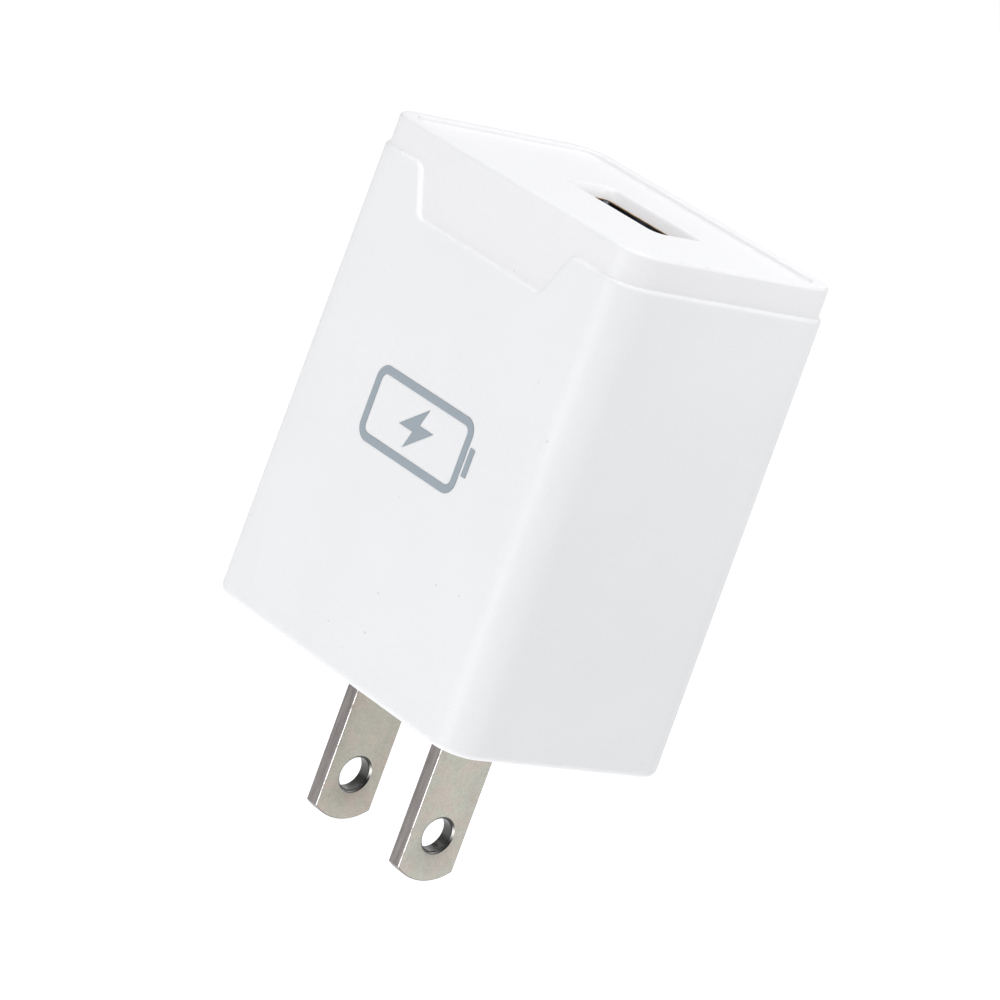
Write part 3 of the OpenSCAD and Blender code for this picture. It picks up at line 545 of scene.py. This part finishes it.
def slot_materials():
    """One material for each of the record's slots that carried-over nodes use."""
    steel = mottled("shield_steel", (0.3, 0.33, 0.38), 0.2, 350, 0.5, 0.003 * MM, metallic=1.0)
    resin = mottled("tongue_resin", (0.016, 0.016, 0.018), 0.45, 2600, 0.35)
    gold = mottled("contact_gold", (0.86, 0.61, 0.22), 0.22, 1500, 0.08, metallic=1.0)
    coating = mottled("resistor_coating", (0.09, 0.22, 0.16), 0.55, 1200, 0.15, 0.02 * MM)
    return {
        "printed_ink": printed_ink(),
        "black_resin": mottled("black_resin", (0.014, 0.014, 0.016), 0.5, 2200, 0.3).material,
        "clip_brass": mottled("clip_brass", (0.66, 0.46, 0.17), 0.28, 800, 0.12, metallic=1.0).material,
        "board_laminate": laminate(),
        "insulating_film": mottled("insulating_film", (0.62, 0.5, 0.26), 0.2, 300, 0.06).material,
        "shield_steel": steel.material,
        "tongue_resin": resin.material,
        "contact_gold": gold.material,
        "ferrite": mottled("ferrite", (0.035, 0.034, 0.036), 0.48, 1600, 0.25, 0.01 * MM).material,
        "copper_wire": wound_wire("copper_wire", (0.62, 0.24, 0.08), 0.3 * MM, 2),
        "yellow_tape": mottled("yellow_tape", (0.72, 0.5, 0.05), 0.26, 350, 0.06, 0.02 * MM).material,
        "tinned_wire": mottled("tinned_wire", (0.72, 0.72, 0.73), 0.24, 1800, 0.08, metallic=1.0).material,
        "resistor_coating": coating.material,
        "capacitor_sleeve": sleeve(),
        "disc_coating": mottled("disc_coating", (0.012, 0.07, 0.33), 0.3, 600, 0.15, 0.04 * MM).material,
        "chip_resin": mottled("chip_resin", (0.018, 0.018, 0.02), 0.55, 3000, 0.3, 0.008 * MM).material,
        "chip_ceramic": mottled("chip_ceramic", (0.42, 0.31, 0.2), 0.4, 2500, 0.1, 0.006 * MM).material,
    }


# ---- Housing ----

SLOT_R = 0.15 * MM
SLOT_CHAMFER = 0.15 * MM


def slot_loop(centre_x, grow, z):
    """Row round the slot that one blade comes through, wider by grow than the slot itself."""
    low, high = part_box("blade_left")
    thick = (high.x - low.x) / 2 + SLIP
    wide = BLADE_W / 2 + SLIP
    return ring(thick + grow, wide + grow, SLOT_R + grow, z, centre=(centre_x, 0),
                stations=((), (), (), ()), steps=3)


def add_slots(mesh, bottom, floor):
    """Closes the wall face and the floor round the two blade slots."""
    outer, inner = [bottom], [floor]
    for side in ("blade_left", "blade_right"):
        low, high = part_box(side)
        x = (low.x + high.x) / 2
        stages = ((SLOT_CHAMFER, 0), (0, SLOT_CHAMFER), (0, BASE_T))
        rows = loft(mesh, [slot_loop(x, grow, z) for grow, z in stages])
        outer.append(rows[0])
        inner.append(rows[-1])
    fill(mesh, outer)
    fill(mesh, inner)


def housing_rows():
    """Rows from the wall face, up the outside, over the ledge and down the cavity, each with its glow."""
    arc = arc_angles(ARC_STEPS)
    rows = [(0, block_ring(0, FOOT_R + SUPPORT))]
    for a in reversed(arc):
        rows.append((0, block_ring(FOOT_R * (1 - math.sin(a)), FOOT_R * (1 - math.cos(a)))))
    heights = (FOOT_R + SUPPORT, *SIDE_ROWS, TAB_Z - UNDER_TAB)
    rows += [(0, block_ring(z, 0)) for z in heights]
    rows.append((0, edge_ring(-LEDGE_DOWN - SUPPORT, 0)))
    # Painted highlight: the ledge's rounding and flat glow along the seam, most on the notch's left wall.
    for a in arc:
        inset = LEDGE_IN * (1 - math.cos(a))
        rows.append((seam_glow(LEDGE_GLOW * math.sin(a)), edge_ring(LEDGE_DOWN * (math.sin(a) - 1), inset)))
    rows.append((seam_glow(LEDGE_GLOW), edge_ring(0, LEDGE_IN + SUPPORT)))
    rows.append((0, inner_edge_ring(CAVITY_X, CAVITY_Y, CAVITY_R, 0)))
    rows += [(0, cavity_ring(TAB_Z - UNDER_TAB)), (0, cavity_ring(BASE_T))]
    return rows


def build_housing(material):
    mesh = bmesh.new()
    rows = lit_loft(mesh, housing_rows())
    add_slots(mesh, rows[0], rows[-1])
    piece = as_piece(mesh, "housing_shell", [material])
    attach(piece, "charger")
    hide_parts("main_housing")


# ---- End cap ----


def rim_rows():
    """Rows of the end cap's outside: up the band, over the rim and down to the sunken panel."""
    arc = arc_angles(ARC_STEPS)
    inner = CAP_INSET + RIM_W
    rows = []
    # Painted light: the cove where the band meets the ledge glows, to lift the shade there.
    for a in arc:
        height = CAP_GAP + COVE_UP * (1 - math.cos(a))
        inset = CAP_INSET - COVE_IN * (1 - math.sin(a))
        rows.append((seam_glow(COVE_GLOW * math.cos(a)), edge_ring(height, inset)))
    rows.append((0, block_ring(LEDGE_Z + ABOVE_SEAM, CAP_INSET)))
    rows.append((0, block_ring(BODY_TOP - RIM_R - SUPPORT, CAP_INSET)))
    for a in arc:
        height = BODY_TOP - RIM_R * (1 - math.sin(a))
        rows.append((0, block_ring(height, CAP_INSET + RIM_R * (1 - math.cos(a)))))
    rows.append((0, block_ring(BODY_TOP, CAP_INSET + RIM_R + SUPPORT)))
    rows.append((0, block_ring(BODY_TOP, inner - RIM_INNER_R - SUPPORT)))
    # Painted light: the rim's inner wall and its fillet into the panel glow, to lift the shade of the
    # recess.
    for a in arc:
        height = BODY_TOP - RIM_INNER_R * (1 - math.cos(a))
        rows.append((RIM_GLOW * math.sin(a), block_ring(height, inner - RIM_INNER_R * (1 - math.sin(a)))))
    for a in arc:
        height = PANEL_Z + PANEL_R * (1 - math.sin(a))
        rows.append((RIM_GLOW * math.cos(a), block_ring(height, inner + PANEL_R * (1 - math.cos(a)))))
    rows.append((0, block_ring(PANEL_Z, inner + PANEL_R + SUPPORT)))
    return rows


def port_rows():
    """Rows of the socket's opening, from the lip's outer edge down to the pocket for the metal shield."""
    rows = [(0, port_ring(PANEL_Z, 1 + SUPPORT / LIP_X))]
    # Painted light: the socket's lip and wall glow, most in the throat, to lift the shade inside the
    # opening.
    for a in arc_angles(ARC_STEPS):
        height = PANEL_Z - LIP_DEEP * (1 - math.cos(a))
        rows.append((PORT_GLOW * math.sin(a) ** 2, port_ring(height, 1 - math.sin(a))))
    rows.append((PORT_GLOW, port_ring(PANEL_Z - PORT_LAND, 0)))
    for z in (PANEL_Z - PORT_LAND, PANEL_Z - PANEL_T):
        rows.append((0, ring(POCKET_X, POCKET_Y, THROAT_R, z, centre=PORT)))
    return rows


def skirt_rows():
    """Rows of the skirt inside the housing: down its inner wall and up its outer wall to the tab."""
    x, y, r = CAVITY_X - SLIP, CAVITY_Y - SLIP, CAVITY_R - SLIP
    rows = [(0, ring(x - SKIRT_T, y - SKIRT_T, r - SKIRT_T / 2, z)) for z in (PANEL_Z - PANEL_T, SKIRT_Z)]
    rows.append((0, ring(x, y, r, SKIRT_Z)))
    rows.append((0, inner_edge_ring(x, y, r, CAP_GAP)))
    return rows


def build_cap(material):
    mesh = bmesh.new()
    lit_loft(mesh, rim_rows() + port_rows() + skirt_rows(), closed=True)
    piece = as_piece(mesh, "socket_end_cap", [material])
    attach(piece, "charger")
    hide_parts("usb_end_cap")


# ---- Mains blades ----

BLADE_W = 6.35 * MM
BLADE_TIP = 1.1 * MM
BLADE_EDGE_R = 0.11 * MM
FLANGE_H = 1.2 * MM
SHANK_W = 4.0 * MM
HOLE_R = 1.6 * MM
HOLE_SINK = 0.25 * MM
HOLE_STEPS = 64
TIP_STEPS = 20
EDGE_STEPS = 4
MITRE_LIMIT = 0.3
GLINT = "glint"


def blade_outline(low, high):
    """Points (y, z) round the blade, anticlockwise seen along -X, from the left end of its curved tip."""
    half = BLADE_W / 2
    radius = (half * half + BLADE_TIP * BLADE_TIP) / (2 * BLADE_TIP)
    centre = low.z + radius
    reach = math.asin(half / radius)
    tip = []
    for i in range(TIP_STEPS + 1):
        a = reach * (2 * i / TIP_STEPS - 1)
        tip.append((radius * math.sin(a), centre - radius * math.cos(a)))
    flange = high.y
    shank = SHANK_W / 2
    shoulder = BASE_T + FLANGE_H
    right = [(half, BASE_T), (flange, BASE_T), (flange, shoulder), (shank, shoulder), (shank, high.z)]
    left = [(-y, z) for y, z in reversed(right)]
    return [Vector(p) for p in tip + right + left]


def inset_loop(points, distance):
    """The same outline, moved in by distance along the mitres; MITRE_LIMIT stops long spikes."""
    moved = []
    count = len(points)
    for i, point in enumerate(points):
        before = (point - points[i - 1]).normalized()
        after = (points[(i + 1) % count] - point).normalized()
        mitre = Vector((-before.y - after.y, before.x + after.x)).normalized()
        cosine = mitre.dot(Vector((-before.y, before.x)))
        moved.append(point + mitre * distance / max(cosine, MITRE_LIMIT))
    return moved


def circle(centre, radius):
    turns = [2 * math.pi * i / HOLE_STEPS for i in range(HOLE_STEPS)]
    return [Vector((centre.y + radius * math.cos(a), centre.z + radius * math.sin(a))) for a in turns]


def blade_finish(face, hole):
    """Which of a blade's materials a face takes: 0 flat, 1 sheared with painted shade, 2 painted edge
    highlight, 3 hole with painted shade and highlights.
    """
    lean = abs(face.normal.x)
    if lean > 0.995:
        return 0
    away = (face.calc_center_median() - hole).yz
    if away.length < HOLE_R + HOLE_SINK:
        return 3
    # Facets part way round a long edge take the painted highlight; the facets next to the flat faces take
    # the sheared metal's painted shade, a thin dark line.
    return 2 if 0.35 < lean < 0.9 and abs(face.normal.z) < 0.1 else 1


def bell(angle, middle, width):
    """1 at middle, and falling off on both sides."""
    return math.exp(-((angle - middle) / width) ** 2)


def glint_at(place, hole):
    """How pale the metal of a blade's hole is painted at a place, from 0 to 1: painted shade on the bore's
    wall, painted highlights and reflections on the countersink.

    The angles, in degrees round the hole from +Y, and the strengths were chosen. A direction near
    180 takes the size of the angle only, since angles jump from 180 to -180 there."""
    away = (place - hole).yz
    angle = math.degrees(math.atan2(away.y, away.x))
    if away.length < HOLE_R + HOLE_SINK / 10:
        # The bore's wall: painted shade, with a faint painted reflection at the bottom.
        return 0.07 + 0.09 * bell(angle, -100, 50)
    # The countersink: a painted highlight at one side, and painted reflections below and on the far side.
    bright = 0.9 * bell(angle, 14, 15)
    return 0.02 + bright + 0.3 * bell(angle, -105, 40) + 0.35 * bell(abs(angle), 180, 70)


def plate_steps(radius, thick):
    """Inset and x of a plate's rows, from one face to the other, with its edges rounded by radius."""
    arc = arc_angles(EDGE_STEPS)
    half = [(radius * (1 - math.sin(a)), radius * (1 - math.cos(a)) - thick) for a in arc]
    return half + [(inset, -x) for inset, x in reversed(half)]


def build_blade(node, hole_mount, materials):
    """One stamped blade: rounded long edges, a curved tip and a hole countersunk from both sides."""
    low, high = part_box(node)
    middle = (low.x + high.x) / 2
    thick = (high.x - low.x) / 2
    outline = blade_outline(low, high)
    hole = mount_place(hole_mount)
    mesh = bmesh.new()

    def row(points, x):
        return [Vector((middle + x, p.x, p.y)) for p in points]

    skin = [row(inset_loop(outline, inset), x) for inset, x in plate_steps(BLADE_EDGE_R, thick)]
    outer = loft(mesh, skin)
    bore = [row(circle(hole, HOLE_R + grow), x) for grow, x in plate_steps(HOLE_SINK, thick)]
    inner = loft(mesh, bore)
    fill(mesh, [outer[0], inner[0]])
    fill(mesh, [outer[-1], inner[-1]])
    bmesh.ops.recalc_face_normals(mesh, faces=mesh.faces)
    for face in mesh.faces:
        face.material_index = blade_finish(face, hole)
    glint = mesh.verts.layers.float.new(GLINT)
    for vert in mesh.verts:
        vert[glint] = glint_at(vert.co, hole)
    piece = as_piece(mesh, node + "_plate", materials)
    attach(piece, "charger")
    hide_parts(node)


# ---- Mouth of the socket's shield ----

SHEET = 0.3 * MM
BEAD_R = 0.05 * MM
BEAD_CORNER_R = 0.4 * MM
BEAD_STEPS = 10
BEAD_BELOW = 1.2


def build_shield_lip(material):
    """Bead where the shield's sheet is rolled over at its mouth, just below the plastic wall."""
    low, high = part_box("usb_shield")
    middle = Vector(((low.x + high.x) / 2, PORT.y))
    wide = (high.x - low.x) / 2 - SHEET
    deep = THROAT_Y - BEAD_R
    mesh = bmesh.new()
    rows = []
    for i in range(BEAD_STEPS):
        a = 2 * math.pi * i / BEAD_STEPS
        grow = BEAD_R * math.cos(a)
        z = PANEL_Z - PORT_LAND - BEAD_BELOW * BEAD_R + BEAD_R * math.sin(a)
        rows.append(ring(wide + grow, deep + grow, BEAD_CORNER_R + grow, z, centre=middle, steps=ARC_STEPS))
    loft(mesh, rows, closed=True)
    piece = as_piece(mesh, "shield_mouth_bead", [material])
    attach(piece, "charger")


# ---- Carried-over nodes ----

WELD = 0.001 * MM
SOFT_EDGE = 0.04 * MM
SOFT_ANGLE = math.radians(40)


def finish_nodes(materials):
    """Gives each CAD node that stays its slot's material, and softens its edges with modifiers."""
    for part in frame["record"]["subparts"]:
        node = frame["nodes"][part["node"]]
        if part["material_slot"] not in materials:
            continue
        node.data.materials.clear()
        node.data.materials.append(materials[part["material_slot"]])
        weld = node.modifiers.new("weld", "WELD")
        weld.merge_threshold = WELD
        edge = node.modifiers.new("edge", "BEVEL")
        edge.width = SOFT_EDGE
        edge.segments = 2
        edge.limit_method = "ANGLE"
        edge.angle_limit = SOFT_ANGLE
        edge.harden_normals = True


# ---- Camera, light and floor ----

CAMERA_AZIMUTH = math.radians(46.59)
CAMERA_ELEVATION = math.radians(13.10)
CAMERA_ROLL = math.radians(20.25)
CAMERA_DISTANCE = 522.2 * MM
CAMERA_LENS = 214.6
CAMERA_OFFSET = (-0.53, 0.23, 2.34)
FLOOR_DROP = 200 * MM
FLOOR_HALF = 4.0
FLOOR_GLOW = 0.46
ROOM_LIGHT = 0.4

# Soft panels: name, azimuth, elevation (degrees), distance, size (metres), radiance
PANELS = (
    ("overhead", 0, 88, 0.9, 0.9, 1.95),
    ("high_front", 0, 50, 0.9, 0.6, 0.2),
    ("high_right", 24, 55, 0.9, 0.7, 1.48),
    ("low_front", 6, -13, 0.6, 0.28, 2.3),
    ("back_left", -130, 25, 0.9, 0.7, 0.18),
    ("near_right", 125, 40, 0.14, 0.1, 1.27),
)
WASH_ELEVATION = math.radians(20)
WASH_DISTANCE = 2.0
WASH_SIZE = 1.2
WASH_RADIANCE = 0.6


def from_sky(azimuth, elevation):
    """Direction from the object towards that azimuth and elevation, in radians."""
    level = math.cos(elevation)
    return Vector((math.sin(azimuth) * level, -math.cos(azimuth) * level, math.sin(elevation)))


def aim(thing, place, target, roll=0.0):
    """Puts a camera or light at place and turns it towards target."""
    look = (target - place).to_track_quat("-Z", "Y")
    thing.location = place
    thing.rotation_mode = "QUATERNION"
    thing.rotation_quaternion = look @ Quaternion((0, 0, 1), roll)


def build_camera(centre):
    data = bpy.data.cameras.new("camera")
    data.lens = CAMERA_LENS
    data.clip_start = 10 * MM
    data.clip_end = 20.0
    camera = bpy.data.objects.new("camera", data)
    bpy.context.scene.collection.objects.link(camera)
    target = centre + Vector(CAMERA_OFFSET) * MM
    place = target + from_sky(CAMERA_AZIMUTH, CAMERA_ELEVATION) * CAMERA_DISTANCE
    aim(camera, place, target, CAMERA_ROLL)
    bpy.context.scene.camera = camera


def softbox(name, place, target, size, radiance):
    """Square white panel that faces target; radiance is its brightness seen from there."""
    data = bpy.data.lights.new(name, "AREA")
    data.shape = "SQUARE"
    data.size = size
    data.energy = radiance * math.pi * size * size
    light = bpy.data.objects.new(name, data)
    light.visible_camera = False
    bpy.context.scene.collection.objects.link(light)
    aim(light, place, target)


def build_light(centre, floor_z):
    """Pale surroundings, soft panels that face the object, and a wash on the floor behind it."""
    world = bpy.data.worlds.new("white_room")
    world.use_nodes = True
    world.node_tree.nodes["Background"].inputs["Color"].default_value = (0.985, 0.99, 1.0, 1.0)
    world.node_tree.nodes["Background"].inputs["Strength"].default_value = ROOM_LIGHT
    bpy.context.scene.world = world
    for name, azimuth, elevation, distance, size, radiance in PANELS:
        direction = from_sky(math.radians(azimuth), math.radians(elevation))
        softbox(name, centre + direction * distance, centre, size, radiance)
    behind = centre + from_sky(CAMERA_AZIMUTH + math.pi, WASH_ELEVATION) * WASH_DISTANCE
    softbox("backdrop_wash", behind, Vector((behind.x, behind.y, floor_z)), WASH_SIZE, WASH_RADIANCE)


def build_floor(low):
    """Plain pale floor, lit from within a little so that it reads as white paper."""
    mesh = bmesh.new()
    half, z = FLOOR_HALF, low.z - FLOOR_DROP
    corners = ((-half, -half, z), (half, -half, z), (half, half, z), (-half, half, z))
    mesh.faces.new([mesh.verts.new(corner) for corner in corners])
    made = Surface("floor_paper", 0.8)
    cloud = made.noise(3, 2)
    made.colour(made.blend(cloud, (0.93, 0.93, 0.93), (0.96, 0.96, 0.96)))
    made.shader.inputs["Emission Color"].default_value = (1, 1, 1, 1)
    made.shader.inputs["Emission Strength"].default_value = FLOOR_GLOW
    floor = as_piece(mesh, "floor", [made.material])


# ---- The whole scene ----

centre = (cad_box[0] + cad_box[1]) / 2
build_housing(white_plastic("housing_plastic", (0.783, 0.786, 0.801)))
build_cap(white_plastic("cap_plastic", (0.789, 0.788, 0.801)))
other_metals = [blade_edge(), blade_edge_highlight(), blade_bore()]
# Both blades are the same nickel; the left one is painted darker: painted shade.
for side, colour in (("left", (0.45, 0.424, 0.372)), ("right", (0.5, 0.484, 0.432))):
    metals = [blade_face("nickel_" + side, colour)] + other_metals
    build_blade("blade_" + side, "blade_hole_" + side, metals)
finish_nodes(slot_materials())
# The bead is the shield's steel sheet; its bronze colour is a painted reflection.
build_shield_lip(mottled("bead_gold_reflection", (0.5, 0.3, 0.12), 0.3, 900, 0.4, metallic=1.0).material)
build_camera(centre)
build_light(centre, cad_box[0].z - FLOOR_DROP)
build_floor(cad_box[0])
bpy.context.scene.view_settings.view_transform = "Standard"
